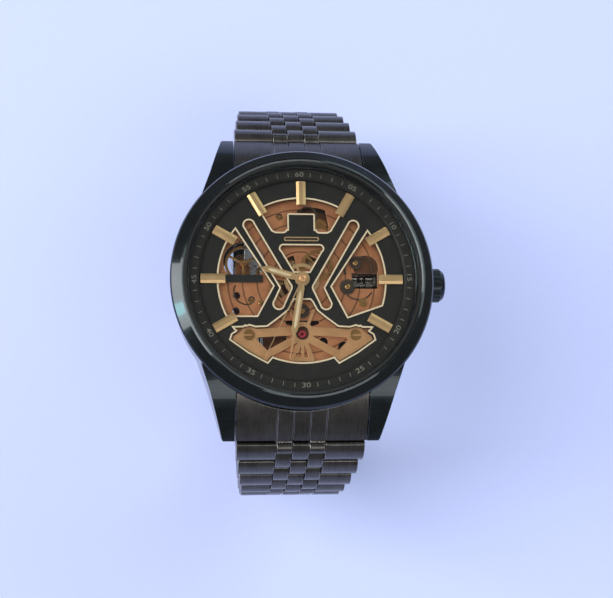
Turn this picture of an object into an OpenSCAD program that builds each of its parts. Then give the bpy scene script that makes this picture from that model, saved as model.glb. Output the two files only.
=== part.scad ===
// Automatic wristwatch with a skeleton dial and a five-column link bracelet closed in a loop.
// Millimetres. +Z points out of the dial, +Y to 12 o'clock and +X to the crown. The origin is
// the centre of the case back's flat outer face.

/* [Case] */
// Diameter of the bezel
bezel_d = 44; // [38:0.5:48]
// Diameter of the case middle
case_d = 43.2; // [37:0.1:47]
// Distance between the lugs
lug_gap = 22.3; // [18:0.1:26]
// Distance of the spring bar axes from the case centre
bar_y = 23.5; // [20:0.1:26]
// Height of the spring bar axes
bar_z = 3.2; // [2:0.1:6]
// Height of the crown's axis
crown_z = 4.8; // [3:0.1:7]
// Diameter of the crown
crown_d = 5.8; // [4:0.1:8]

/* [Dial] */
// Height of the dial plate's upper face
dial_z = 9.0; // [7:0.1:11]
// Radius of the dial plate
dial_r = 19.2; // [16:0.1:20]
// Radius of the ring on which the windows end
window_r = 14.0; // [12:0.1:15]
// Width of the raised rim round each window
rim_w = 0.26; // [0.1:0.02:0.5]
// Width of an hour baton
baton_w = 1.6; // [0.8:0.1:2.4]
// Clockwise angle of the hour hand from 12
hour_angle = 286; // [0:0.5:360]
// Clockwise angle of the minute hand from 12
minute_angle = 189.5; // [0:0.5:360]
// Clockwise angle of the second hand from 12
second_angle = 205.5; // [0:0.5:360]

/* [Movement] */
// Radius of the mainplate
plate_r = 14.2; // [12:0.1:15]
// Height of the mainplate's lower face
plate_z = 6.6; // [6:0.1:7]
// Height of the bridges' lower face
bridge_z = 3.2; // [3:0.1:3.6]
// Thickness of the bridges
bridge_t = 1.0; // [0.6:0.1:1.2]
// Clockwise angle from 12 of the rotor's heavy side
rotor_angle = 60; // [0:5:360]

/* [Bracelet] */
// Number of rows on each half of the bracelet
rows = 10; // [8:1:11]
// Distance between hinges
pitch = 5.5; // [4:0.1:7]
// Thickness of a link
link_t = 2.5; // [2:0.1:3.5]
// Radius of a link's ends
link_r = 1.2; // [1:0.05:1.5]
// Width of the row next to the case
link_w = 21.6; // [16:0.1:24]
// Width of the rows at the clasp
clasp_w = 18; // [14:0.1:24]
// Loss of width from one row to the next
taper = 1; // [0:0.1:2]
// Distance of the first hinge axis from the case centre
hinge_y = 27.1; // [26:0.1:32]
// Height of the first hinge axis
hinge_z = 1.3; // [1:0.1:6]
// Slope of the first row at 12 o'clock
slope_12 = 52; // [30:1:80]
// Slope of the first row at 6 o'clock
slope_6 = 66.5; // [30:0.5:80]
// Part of each row's bend that stays the same at 12 o'clock
bend_12 = 2.5; // [0:0.1:12]
// Part of each row's bend that stays the same at 6 o'clock
bend_6 = 4.5; // [0:0.1:12]
// Half of what the bend grows by from row to row at 12 o'clock
curl_12 = 0.914; // [0:0.001:1.5]
// Half of what the bend grows by from row to row at 6 o'clock
curl_6 = 0.598; // [0:0.001:1.5]

/* [Clasp] */
// Radius on which the clasp's pins lie
clasp_r = 60; // [50:1:80]
// Half the width of the clasp's cover
cover_x = 9; // [8:0.1:11]

/* [Hidden] */
bezel_r = bezel_d / 2;
case_r = case_d / 2;
lug_x = lug_gap / 2;
crown_r = crown_d / 2;
plate_top = plate_z + 1.3;
bridge_top = bridge_z + bridge_t;
bore_r = 17.6;
pin_r = 0.5;
pin_bore_r = 0.55;
centre_x = 1.35;
mid_in = 1.5;
mid_out = 4.05;
outer_in = 4.2;
// lugs and end links: the arc that rounds them off on top, seen from the side
lug_top = [12, -8.9];
end_top = [12, -9.1];
top_r = 18.5;
// gear train: the third wheel lies off centre, the fourth wheel is back at the centre
train_d = 4.5;
third_at = [train_d * cos(-60), train_d * sin(-60)];
barrel_at = [1.9, 6.24];
balance_at = [-9.7, 3.3];
escape_at = [-4.55, 1.53];
pallet_at = [-7.05, 2.95];
motion_d = 3.68;
minute_wheel_at = motion_d * [cos(45), sin(45)];
jewel_at = [0, -9];
bridge_screw_at = [8.9, -9.35];
// bracelet: hinge k of a half and the slope of its row
function slope(side, k) = side > 0
    ? slope_12 + bend_12 * k + curl_12 * k * k
    : slope_6 + bend_6 * k + curl_6 * k * k;
function hinge(side, k) = k == 0
    ? [hinge_y, hinge_z]
    : hinge(side, k - 1) + pitch * [cos(slope(side, k - 1)), -sin(slope(side, k - 1))];
// half the width of row k, which counts from 1
function row_x(k) = max(clasp_w, link_w - taper * (k - 1)) / 2;
// clasp: an arc through the last hinges of both halves
end_12 = hinge(1, rows);
end_6 = hinge(-1, rows);
clasp_y = (end_12[0] - end_6[0]) / 2;
clasp_half = (end_12[0] + end_6[0]) / 2;
clasp_a = asin(clasp_half / clasp_r);
clasp_z = (end_12[1] + end_6[1]) / 2 + clasp_r * cos(clasp_a);
blade_pin_r = clasp_r - 0.1;
fold_a = 13;
cover_a = -15.5;

black = [0.10, 0.11, 0.12];
gunmetal = [0.24, 0.25, 0.26];
copper = [0.72, 0.47, 0.33];
gold = [0.85, 0.70, 0.42];
steel = [0.62, 0.63, 0.65];

// ---- helpers ----

// a disc or ring between two heights
module ring(r_out, r_in, z0, z1, fn = 96) {
    difference() {
        translate([0, 0, z0]) cylinder(r = r_out, h = z1 - z0, $fn = fn);
        if (r_in > 0) translate([0, 0, z0 - 1]) cylinder(r = r_in, h = z1 - z0 + 2, $fn = fn);
    }
}

// a rod along X between two places
module rod_x(x0, x1, r, y, z, fn = 32) {
    translate([x0, y, z]) rotate([0, 90, 0]) cylinder(r = r, h = x1 - x0, $fn = fn);
}

// a plate along X from an outline drawn in Y and Z
module plate_x(x0, x1) {
    translate([x0, 0, 0]) rotate([90, 0, 90]) linear_extrude(x1 - x0) children();
}

// the same plate on the left and the right
module both_x(x0, x1) {
    plate_x(x0, x1) children();
    plate_x(-x1, -x0) children();
}

// a plate along Z from an outline drawn in X and Y
module plate_z(z0, z1) {
    translate([0, 0, z0]) linear_extrude(z1 - z0) children();
}

// outline of a straight bar with round ends, which stand out a hair past its sides
module bar(a, b, w) {
    len = norm(b - a);
    side = 0.97 * w;
    translate(a) rotate(atan2(b[1] - a[1], b[0] - a[0])) translate([0, -side / 2]) square([len, side]);
    translate(a) circle(r = w / 2, $fn = 32);
    translate(b) circle(r = w / 2, $fn = 32);
}

// outline of a toothed wheel
module teeth(n, r, depth) {
    polygon([for (i = [0:n - 1], k = [0:3])
        let (a = 360 * (i + [0, 0.28, 0.5, 0.78][k]) / n, q = k < 2 ? r + depth / 2 : r - depth / 2)
        [q * cos(a), q * sin(a)]]);
}

// a wheel with a toothed rim, a bore and crossed spokes
module wheel(n, r, bore, z0, z1, spokes = 5, rim = 0.7, depth = 0.2) {
    difference() {
        plate_z(z0, z1) teeth(n, r, depth);
        translate([0, 0, z0 - 1]) cylinder(r = bore, h = 4, $fn = 32);
        for (i = [0:spokes - 1])
            plate_z(z0 - 1, z1 + 1) spoke_gap(r * 0.26 + bore * 0.5, r - rim, 360 * i / spokes, 300 / spokes);
    }
}

// outline of the opening between two spokes
module spoke_gap(r_in, r_out, a, span) {
    intersection() {
        difference() {
            circle(r = r_out, $fn = 64);
            circle(r = r_in, $fn = 32);
        }
        polygon([[0, 0],
            2 * r_out * [cos(a - span / 2), sin(a - span / 2)],
            2 * r_out * [cos(a), sin(a)],
            2 * r_out * [cos(a + span / 2), sin(a + span / 2)]]);
    }
}

// a slotted cheese-head screw standing at a height, head up (dir = 1) or down (dir = -1)
module screw(at, z, r, h, dir = 1) {
    translate([at[0], at[1], z]) mirror([0, 0, dir > 0 ? 0 : 1]) difference() {
        cylinder(r = r, h = h, $fn = 32);
        translate([-r - 0.1, -r * 0.13, h * 0.55]) cube([2 * r + 0.2, r * 0.26, h]);
    }
}

// ---- case ----

module lug_side() {
    intersection() {
        union() {
            translate([12, 0.5]) square([bar_y - 12, 8.9]);
            translate([bar_y, bar_z + 0.1]) circle(r = 2.9, $fn = 64);
        }
        translate(lug_top) circle(r = top_r, $fn = 128);
    }
}

module lug_pair() {
    difference() {
        intersection() {
            plate_x(-20, 20) lug_side();
            for (s = [-1, 1])
                plate_z(-1, 11) polygon([[s * lug_x, 12], [s * lug_x, 27.2], [s * 12.3, 27.2],
                    [s * 13.3, 26.1], [s * 15.4, 18.6], [s * 17.6, 12]]);
        }
        rod_x(-lug_x - 1.2, lug_x + 1.2, pin_bore_r, bar_y, bar_z);
    }
}

module case_middle() color(black) difference() {
    union() {
        rotate_extrude($fn = 160) polygon([[bore_r + 0.2, 1], [19.6, 1], [case_r - 0.6, 2],
            [case_r, 2.8], [case_r, 9.4], [19.6, 9.4], [19.6, 8.5], [bore_r + 0.2, 8.5]]);
        difference() {
            for (a = [0, 180]) rotate([0, 0, a]) lug_pair();
            translate([0, 0, -1]) cylinder(r = case_r - 1, h = 12, $fn = 160);
        }
    }
    rod_x(10, 24, 1.35, 0, crown_z);
    rod_x(case_r - 0.3, 24, crown_r + 0.15, 0, crown_z, 64);
}

module bezel() color(black) rotate_extrude($fn = 160) polygon([[19.0, 10.1], [19.6, 9.42],
    [bezel_r - 0.1, 9.42], [bezel_r, 9.6], [bezel_r, 10.5], [bezel_r - 0.25, 10.85],
    [20.35, 11.85], [20.05, 11.95], [19.8, 11.85], [19.8, 10.6], [19.0, 10.6]]);

module crystal() color([0.8, 0.88, 0.92, 0.3]) rotate_extrude($fn = 160)
    polygon([[0, 10.62], [19.3, 10.62], [19.3, 11.9], [19.05, 12.15], [0, 12.15]]);

module crystal_gasket() color([0.05, 0.05, 0.05]) ring(19.78, 19.32, 10.62, 11.8, 160);

// ---- dial ----

module minute_ring() color(gunmetal) rotate_extrude($fn = 160) polygon([[17.15, 9.02],
    [dial_r - 0.05, 9.02], [dial_r - 0.05, 9.6], [18.95, 10.0], [17.5, 10.0], [17.15, 9.7]]);

// outline of the window under the batons at 11, 12 and 1, with the notch in its lower side
module window_top() difference() {
    intersection() {
        circle(r = window_r, $fn = 128);
        polygon([[-4.35, 8.2], [4.35, 8.2], [4.9, 8.5], [9, 15.5], [-9, 15.5], [-4.9, 8.5]]);
    }
    translate([-2.35, 7]) square([4.7, 4.1]);
    translate([-2, 7]) square([4, 4.45]);
    for (s = [-1, 1]) translate([s * 2, 11.1]) circle(r = 0.35, $fn = 24);
    for (s = [-1, 1]) difference() {
        translate([s * 2.6 - 0.45, 7.9]) square([0.9, 0.75]);
        translate([s * 3.05, 8.65]) circle(r = 0.45, $fn = 24);
    }
}

// outline of the small triangular window above the hands
module window_centre() {
    polygon([[-3.55, 5.3], [-3.1, 5.85], [3.1, 5.85], [3.55, 5.3], [1.28, 1.35], [-1.28, 1.35]]);
    for (s = [-1, 1]) translate([s * 3.06, 5.33]) circle(r = 0.52, $fn = 24);
}

// outline of a bent slot beside the hands
module window_slot(s) {
    elbow = [s * 2.68, -1.4];
    bar([s * 8.85, 9.35], elbow, 1.62);
    bar(elbow, [s * 3.95, -4.2], 1.62);
}

// outline of the left window: balance and plate
module window_left() intersection() {
    circle(r = window_r, $fn = 128);
    polygon([[-16, 16.1], [-4.9, -1.15], [-7.6, -6.2], [-16, -6.2]]);
}

// outline of the right window: winding works
module window_right() intersection() {
    circle(r = window_r, $fn = 128);
    polygon([[16, 15.5], [5.0, -1.2], [7.6, -6.35], [16, -3.4]]);
}

// outline of the lower window, its wings ending in a step at both sides
module window_bottom() {
    intersection() {
        circle(r = window_r + 0.05, $fn = 128);
        wing_field();
    }
    for (s = [-1, 1]) intersection() {
        circle(r = 15.75, $fn = 128);
        polygon([[s * 5.0, -12.9], [s * 9.6, -8.0], [s * 11.7, -9.4], [s * 11.95, -10.2],
            [s * 9.0, -12.3], [s * 5.95, -14.0]]);
    }
}

module wing_field() difference() {
    polygon([[-1.3, -3.5], [1.3, -3.5], [1.65, -3.9], [2.4, -5.35], [3.9, -6.6], [5.9, -8.1],
        [7.9, -8.2], [8.85, -7.9], [9.7, -8.2], [12, -8.25], [12, -16], [-12, -16],
        [-12, -8.25], [-9.7, -8.2], [-8.85, -7.9], [-7.9, -8.2], [-5.9, -8.1], [-3.9, -6.6],
        [-2.4, -5.35], [-1.65, -3.9]]);
    for (s = [-1, 1]) polygon([[s * 11.1, -8.5], [s * 10.6, -9.15], [s * 14, -10.2], [s * 14, -7]]);
}

module windows() {
    window_top();
    window_centre();
    window_slot(-1);
    window_slot(1);
    window_left();
    window_right();
    window_bottom();
}

module dial_plate() color(gunmetal) difference() {
    translate([0, 0, dial_z - 0.45]) cylinder(r = dial_r, h = 0.45, $fn = 160);
    plate_z(dial_z - 1, dial_z + 1) windows();
    translate([0, 0, dial_z - 1]) cylinder(r = 1.05, h = 2, $fn = 48);
}

// a flat rim round a window, standing a little above the dial
module window_rim() plate_z(dial_z, dial_z + 0.12) difference() {
    offset(delta = rim_w, chamfer = false) children();
    children();
}

module window_rims() color(gold) {
    window_rim() window_top();
    window_rim() window_centre();
    window_rim() window_slot(-1);
    window_rim() window_slot(1);
    window_rim() window_left();
    window_rim() window_right();
    window_rim() window_bottom();
}

module baton(hour) rotate([0, 0, -30 * hour]) {
    h = 0.55;
    translate([0, 12.85, dial_z + 0.13]) rotate([-90, 0, 0])
        linear_extrude(4.1) polygon([[-baton_w / 2, 0], [baton_w / 2, 0], [baton_w / 2, -h * 0.6],
            [baton_w * 0.22, -h], [-baton_w * 0.22, -h], [-baton_w / 2, -h * 0.6]]);
}

module hour_batons() color(gold) for (hour = [8, 9, 10, 11, 12, 1, 2, 3, 4]) baton(hour);

// a plain applied bar in the place of the wording
module plaque() color(gold) {
    plate_z(dial_z, dial_z + 0.2) difference() {
        bar([-2.6, 6.95], [2.6, 6.95], 0.75);
        bar([-2.6, 6.95], [2.6, 6.95], 0.35);
    }
    plate_z(plate_top + 0.02, plate_top + 0.5) translate([-12.95, -0.35]) square([6.4, 1.25]);
}

// ---- movement: fixed pieces ----

module plate_openings() {
    translate(balance_at) circle(r = 3.45, $fn = 64);
    translate([8.5, -1.3]) square([4.4, 2.7]);
    intersection() {
        translate(barrel_at) circle(r = 6.6, $fn = 96);
        polygon([[-0.6, 9.1], [4.9, 9.1], [4.1, 13.4], [-0.6, 13.4]]);
    }
    intersection() {
        translate([-5, -10]) circle(r = 2.4, $fn = 48);
        polygon([[-9, -8.6], [-2.4, -8.6], [-2.4, -10.5], [-4.5, -12.4], [-9, -11.4]]);
    }
    difference() {
        circle(r = 7.9, $fn = 64);
        circle(r = 5.4, $fn = 64);
        translate([-12, -6.8]) square([24, 20]);
        translate([-12, -12]) square([9.2, 8]);
        translate([2.8, -12]) square([9.2, 8]);
    }
    translate([6.9, -11.3]) circle(r = 0.95, $fn = 32);
    translate([3.5, -10.4]) circle(r = 0.75, $fn = 32);
    for (at = [[-3.6, 11.1], [-10.9, -2.6], [-8.4, -3.3], [-11, -5.2]])
        translate(at) circle(r = 0.62, $fn = 32);
    for (a = [36:72:180]) spoke_gap(2.9, 4.6, a + 20, 44);
}

module mainplate() color(copper) difference() {
    translate([0, 0, plate_z]) cylinder(r = plate_r, h = plate_top - plate_z, $fn = 128);
    plate_z(plate_z - 1, plate_top + 1) plate_openings();
    ring(1.5, 0, plate_z - 1, plate_top + 1, 48);
    translate([jewel_at[0], jewel_at[1], plate_top - 0.7]) cylinder(r = 1.15, h = 1, $fn = 48);
    translate([jewel_at[0], jewel_at[1], plate_z - 1]) cylinder(r = 0.64, h = 3, $fn = 32);
    translate([11, 2.35, plate_top - 0.35]) cylinder(r = 2.15, h = 1, $fn = 64);
    translate([minute_wheel_at[0], minute_wheel_at[1], plate_top - 0.4])
        cylinder(r = 0.3, h = 1, $fn = 24);
    for (at = [barrel_at, escape_at, pallet_at, third_at])
        translate([at[0], at[1], plate_z - 0.1]) cylinder(r = 0.35, h = 0.6, $fn = 24);
}

// the bridge in the lower window: two pairs of arms from the jewel, and a fan below it
module dial_bridge_outline() difference() {
    union() {
        translate(jewel_at) circle(r = 1.9, $fn = 64);
        for (s = [-1, 1]) {
            bar([s * 0.8, -8.6], [s * 8.9, -9.1], 1.5);
            bar([s * 0.8, -9.8], [s * 6.4, -12.9], 1.3);
            bar([s * 8.9, -9.6], [s * 6.4, -12.9], 1.3);
            translate([s * bridge_screw_at[0], bridge_screw_at[1]]) circle(r = 1.55, $fn = 48);
            bar([0, -9], [s * 1.5, -13.4], 0.8);
        }
        bar([-1.5, -13.4], [1.5, -13.4], 0.8);
        bar([0, -9], [0, -13.4], 0.5);
        for (s = [-1, 1]) bar([s * 0.7, -8.2], [s * 1.9, -5.2], 0.55);
    }
    translate(jewel_at) circle(r = 1.15, $fn = 48);
    translate([-0.95, -12.6]) circle(r = 0.22, $fn = 24);
}

module dial_bridge() color(copper)
    plate_z(plate_top + 0.02, plate_top + 0.42) intersection() {
        dial_bridge_outline();
        circle(r = plate_r, $fn = 128);
    }

module barrel_bridge() color(copper) {
    difference() {
        plate_z(bridge_z, bridge_top) intersection() {
            circle(r = 13.6, $fn = 128);
            polygon([[-5, 16], [-5.5, 8], [-3, 2.1], [6.5, 2.1], [8, 2.6], [16, 2.6], [16, 16]]);
        }
        for (at = [barrel_at, [11.3, 5.6], [-4, 12]])
            translate([at[0], at[1], bridge_z - 1]) cylinder(r = 0.65, h = 3, $fn = 32);
    }
    for (at = [[9.3, 9.0], [-3.9, 10.2]])
        translate([at[0], at[1], bridge_top]) cylinder(r = 0.5, h = plate_z - bridge_top, $fn = 32);
}

module train_bridge() color(copper) {
    difference() {
        plate_z(bridge_z, bridge_top) intersection() {
            circle(r = 13.6, $fn = 128);
            polygon([[-5.6, 1.9], [6.5, 1.9], [7.8, -2.4], [16, -2.4], [16, -16], [-6.4, -16],
                [-6.4, -1.6]]);
        }
        for (at = [[0, 0], third_at, escape_at, [9.2, -8.2], [-4.8, -11.2]])
            translate([at[0], at[1], bridge_z - 1]) cylinder(r = 0.65, h = 3, $fn = 32);
    }
    for (at = [[7.6, -8.6], [-3, -11.6]])
        translate([at[0], at[1], bridge_top]) cylinder(r = 0.6, h = plate_z - bridge_top, $fn = 32);
    ring(0.84, 0.5, 1.8, bridge_z, 32);
    ring(1.3, 0.5, 1.65, 1.8, 32);
}

module balance_cock() color(copper) {
    difference() {
        plate_z(bridge_z, bridge_top) {
            bar(balance_at, [-9.9, -3.4], 2.6);
            bar([-9.9, -3.4], [-8.6, -7.6], 3.2);
        }
        for (at = [balance_at, [-9.2, -5.6]])
            translate([at[0], at[1], bridge_z - 1]) cylinder(r = 0.6, h = 3, $fn = 32);
    }
    translate([-8.6, -7.6, bridge_top]) cylinder(r = 1, h = plate_z - bridge_top, $fn = 32);
}

// a ruby ring in a bore of its bridge
module jewel(at, z0, z1, r) translate([at[0], at[1], 0]) ring(r, 0.24, z0, z1, 32);

module jewels() color([0.75, 0.08, 0.14]) {
    jewel(jewel_at, plate_top - 1.1, plate_top - 0.5, 0.62);
    for (at = [barrel_at, [0, 0], third_at, escape_at])
        jewel(at, bridge_z + 0.1, bridge_top - 0.1, 0.64);
    jewel(balance_at, bridge_z + 0.1, bridge_top - 0.1, 0.59);
}

module movement_screws() color(steel) {
    for (s = [-1, 1]) screw([s * bridge_screw_at[0], bridge_screw_at[1]], plate_top + 0.43, 0.95, 0.16);
    screw([10.3, -3.7], plate_top + 0.01, 0.75, 0.25);
    screw([-3.6, 11.1], plate_z + 0.4, 0.55, 0.5);
    screw([-8.4, -3.3], plate_z + 0.4, 0.5, 0.6);
    for (at = [[11.3, 5.6], [-4, 12], [9.2, -8.2], [-4.8, -11.2]])
        screw(at, bridge_z + 0.6, 0.6, 0.55, -1);
    screw([-9.2, -5.6], bridge_z + 0.6, 0.55, 0.55, -1);
}

module movement_ring() color([0.08, 0.08, 0.09]) difference() {
    ring(bore_r, plate_r + 0.1, 2.8, 8.4, 128);
    rod_x(12, 20, 1.45, 0, crown_z);
}

module case_back() color(gunmetal) {
    difference() {
        rotate_extrude($fn = 160) polygon([[13.4, 0], [18.4, 0], [19.5, 0.98], [bore_r + 0.1, 0.98],
            [bore_r + 0.1, 2.6], [14.75, 2.6], [14.75, 0.62], [13.4, 0.62]]);
        for (i = [0:5]) rotate([0, 0, 60 * i + 30])
            translate([17.2, -0.75, -0.5]) cube([1.5, 1.5, 1.0]);
    }
}

module back_glass() color([0.8, 0.88, 0.92, 0.3]) rotate_extrude($fn = 128)
    polygon([[0, 0], [13.35, 0], [13.35, 0.64], [14.7, 0.64], [14.7, 1.5], [0, 1.5]]);

module crown_tube() color(steel) difference() {
    rod_x(17.9, case_r - 0.35, 1.3, 0, crown_z);
    rod_x(17, case_r + 1, 0.7, 0, crown_z);
}

// ---- movement: moving pieces ----

// crown, stem and winding pinion turn together
module crown() color(black) {
    difference() {
        translate([0, 0, crown_z]) rotate([0, 90, 0]) rotate_extrude($fn = 96)
            polygon([[0, 21.75], [crown_r - 0.25, 21.75], [crown_r, 22.0], [crown_r, 23.9],
                [crown_r - 0.5, 24.6], [crown_r - 1.1, 24.85], [0, 24.95]]);
        for (i = [0:23]) translate([0, 0, crown_z]) rotate([15 * i, 0, 0])
            translate([21, 0, crown_r + 0.06]) rotate([0, 90, 0]) cylinder(r = 0.22, h = 3.1, $fn = 16);
    }
    rod_x(8.2, 21.75, 0.6, 0, crown_z);
    translate([0, 0, crown_z]) rotate([0, 90, 0]) {
        translate([0, 0, 11.2]) linear_extrude(1.2) teeth(14, 1.25, 0.3);
        translate([0, 0, 9.0]) linear_extrude(0.7) teeth(14, 1.25, 0.3);
        translate([0, 0, 9.7]) cylinder(r = 0.85, h = 0.5, $fn = 32);
        translate([0, 0, 10.2]) linear_extrude(0.5) teeth(14, 1.25, 0.3);
    }
}

module setting_lever() color(steel) difference() {
    plate_x(12.6, 12.95) bar([0, crown_z], [1.2, crown_z], 1.8);
    rod_x(12, 14.5, 0.66, 0, crown_z);
}

module hand(angle, z, t, r_in, r_out, outline) {
    rotate([0, 0, -angle]) difference() {
        plate_z(z, z + t) {
            circle(r = r_out, $fn = 48);
            polygon(outline);
        }
        translate([0, 0, z - 1]) cylinder(r = r_in, h = 3, $fn = 48);
    }
}

// outline of a baton hand: neck, body, shoulder and needle point
function hand_outline(w, body, shoulder, tip) = [[-0.3, 0.6], [0.3, 0.6], [w / 2, 1.7],
    [w * 0.46, body], [0.14, shoulder], [0.08, tip], [-0.08, tip], [-0.14, shoulder],
    [-w * 0.46, body], [-w / 2, 1.7]];

module hour_hand() color(gold) {
    hand(hour_angle, 9.35, 0.2, 0.84, 1.25, hand_outline(1.2, 6.1, 6.9, 7.75));
    ring(0.95, 0.84, plate_top + 0.53, 9.35, 48);
    wheel(40, motion_d * 0.8 - 0.04, 0.84, plate_top + 0.37, plate_top + 0.53, 5, 0.6, 0.16);
}

module minute_hand() color(gold) {
    hand(minute_angle, 9.75, 0.18, 0.44, 1.05, hand_outline(1.15, 8.8, 9.8, 13.9));
    ring(0.78, 0.44, 5.6, 9.75, 48);
    difference() {
        for (z = [5.6, plate_top + 0.02]) plate_z(z, z + 0.3) teeth(12, 0.86, 0.12);
        translate([0, 0, 5]) cylinder(r = 0.7, h = 4, $fn = 32);
    }
    wheel(80, 4.0, 0.7, 6.25, 6.45, 5, 0.6, 0.16);
}

module second_hand() color(gold) {
    hand(second_angle, 10.12, 0.12, 0.1, 0.75, [[-0.11, 0], [0.11, 0], [0.05, 15], [-0.05, 15]]);
    translate([0, 0, 3.4]) cylinder(r = 0.2, h = 0.9, $fn = 24);
    translate([0, 0, 4.3]) cylinder(r = 0.34, h = 5.82, $fn = 32);
}

// fourth wheel on the seconds arbor
module fourth_wheel() color(gold) {
    wheel(72, 4.1, 0.34, 4.62, 4.8, 5, 0.6, 0.18);
    difference() {
        plate_z(4.8, 5.45) teeth(10, 0.46, 0.12);
        translate([0, 0, 4]) cylinder(r = 0.36, h = 2, $fn = 24);
    }
}

module minute_wheel() color(gold) translate([minute_wheel_at[0], minute_wheel_at[1], 0]) {
    wheel(36, motion_d * 0.75 - 0.09, 0.25, plate_top + 0.05, plate_top + 0.22, 4, 0.5, 0.16);
    plate_z(plate_top + 0.22, plate_top + 0.5) teeth(10, motion_d * 0.2 - 0.14, 0.16);
    translate([0, 0, plate_top - 0.3]) cylinder(r = 0.25, h = 0.6, $fn = 24);
}

module third_wheel() color(gold) translate([third_at[0], third_at[1], 0]) {
    wheel(75, 3.86, 0.25, 5.1, 5.28, 5, 0.55, 0.16);
    translate([0, 0, 3.4]) cylinder(r = 0.2, h = 3.5, $fn = 24);
    plate_z(5.28, 6.5) teeth(10, 0.34, 0.12);
}

module escape_wheel() color(steel) translate([escape_at[0], escape_at[1], 0]) {
    wheel(20, 1.95, 0.2, 5.5, 5.68, 4, 0.4, 0.4);
    translate([0, 0, 3.4]) cylinder(r = 0.2, h = 3.5, $fn = 24);
    plate_z(4.55, 5.5) teeth(8, 0.5, 0.12);
}

module pallet_fork() color(steel) translate([pallet_at[0], pallet_at[1], 0]) {
    plate_z(5.5, 5.68) {
        bar([0, 0], [-1.6, 0.2], 0.3);
        bar([0.5, 0.9], [-0.5, -0.9], 0.3);
    }
    translate([0, 0, 4.4]) cylinder(r = 0.18, h = 1.35, $fn = 24);
}

// balance rim, spokes, staff and hairspring
module balance_wheel() color(gold) translate([balance_at[0], balance_at[1], 0]) {
    ring(3.1, 2.65, 5.9, 6.3, 96);
    plate_z(5.95, 6.2) for (a = [30, 150, 270]) bar([0, 0], 2.8 * [cos(a), sin(a)], 0.4);
    translate([0, 0, 3.4]) cylinder(r = 0.2, h = 4.4, $fn = 24);
    translate([0, 0, 4.7]) cylinder(r = 0.5, h = 1.3, $fn = 32);
    for (k = [0:4]) ring(0.75 + 0.3 * k, 0.69 + 0.3 * k, 4.8, 4.95, 48);
    plate_z(4.85, 4.92) bar([0.3, 0], [1.95, 0], 0.08);
}

module barrel() color(gold) translate([barrel_at[0], barrel_at[1], 0]) {
    difference() {
        union() {
            translate([0, 0, 5.0]) cylinder(r = 5.2, h = 1.15, $fn = 96);
            plate_z(5.62, 5.92) teeth(78, 5.46, 0.2);
        }
        translate([0, 0, 6.05]) ring(4.6, 1.4, 0, 1, 96);
    }
    translate([0, 0, 3.4]) cylinder(r = 0.2, h = 3.5, $fn = 32);
    translate([0, 0, 4.3]) cylinder(r = 0.6, h = 2.1, $fn = 32);
    translate([0, 0, 4.3]) linear_extrude(0.25) teeth(48, 3.0, 0.2);
}

module rotor() color(steel) rotate([0, 0, -rotor_angle]) difference() {
    union() {
        ring(1.9, 0, 1.9, 2.9, 64);
        plate_z(2.0, 2.4) intersection() {
            circle(r = 13.0, $fn = 128);
            polygon([[-16, 0], [16, 0], [16, 16], [-16, 16]]);
        }
        plate_z(2.0, 3.0) intersection() {
            difference() {
                circle(r = 13.0, $fn = 128);
                circle(r = 10.8, $fn = 96);
            }
            polygon([[-16, 0], [16, 0], [16, 16], [-16, 16]]);
        }
    }
    for (a = [35, 90, 145]) plate_z(1, 2.6) spoke_gap(4, 9.4, a, 40);
    translate([0, 0, 1]) cylinder(r = 0.9, h = 3, $fn = 32);
}

// ---- bracelet ----

// side outline of a link, from hinge to hinge, crowned on top
module link_side(s0) intersection() {
    union() {
        translate([s0, 0]) circle(r = link_r, $fn = 32);
        translate([s0 + pitch / 2, 0]) circle(r = link_r, $fn = 32);
        translate([s0, -link_r]) square([pitch / 2, link_r + link_t / 2]);
    }
    translate([s0 + pitch / 4, link_t / 2 - 4.2]) circle(r = 4.2, $fn = 64);
}

module link_bores(s0) for (s = [s0, s0 + pitch / 2]) rod_x(-12, 12, pin_bore_r, s, 0, 24);

// the three pieces that lie in phase: two outer links and the centre link
module in_phase_links(half_w) difference() {
    union() {
        both_x(outer_in, half_w) link_side(0);
        plate_x(-centre_x, centre_x) link_side(0);
    }
    link_bores(0);
}

// the two intermediate links, half a pitch further on
module mid_links() difference() {
    both_x(mid_in, mid_out) link_side(pitch / 2);
    link_bores(pitch / 2);
}

// one row of the bracelet on its two pins
module row(side, k) color(gunmetal) {
    at = hinge(side, k - 1);
    pin_x = row_x(k) - 0.15;
    rotate([0, 0, side > 0 ? 0 : 180]) translate([0, at[0], at[1]]) rotate([-slope(side, k - 1), 0, 0]) {
        in_phase_links(row_x(k));
        mid_links();
        for (s = [0, pitch / 2]) rod_x(-pin_x, pin_x, pin_r, s, 0, 24);
        if (side > 0 && k == rows) rod_x(1.3 - cover_x, cover_x - 1.3, pin_r, pitch, 0, 24);
    }
}

module end_link_side() intersection() {
    translate([16, 1]) square([10.6, 9]);
    translate(end_top) circle(r = top_r, $fn = 128);
}

// the fine grooves along an end link's top, in line with the gaps between the columns
module end_link_grooves() for (x = [centre_x, mid_out + 0.02]) both_x(x, x + 0.13) difference() {
    translate([16, -1]) square([14, 12]);
    translate(end_top) circle(r = top_r - 0.4, $fn = 128);
}

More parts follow.
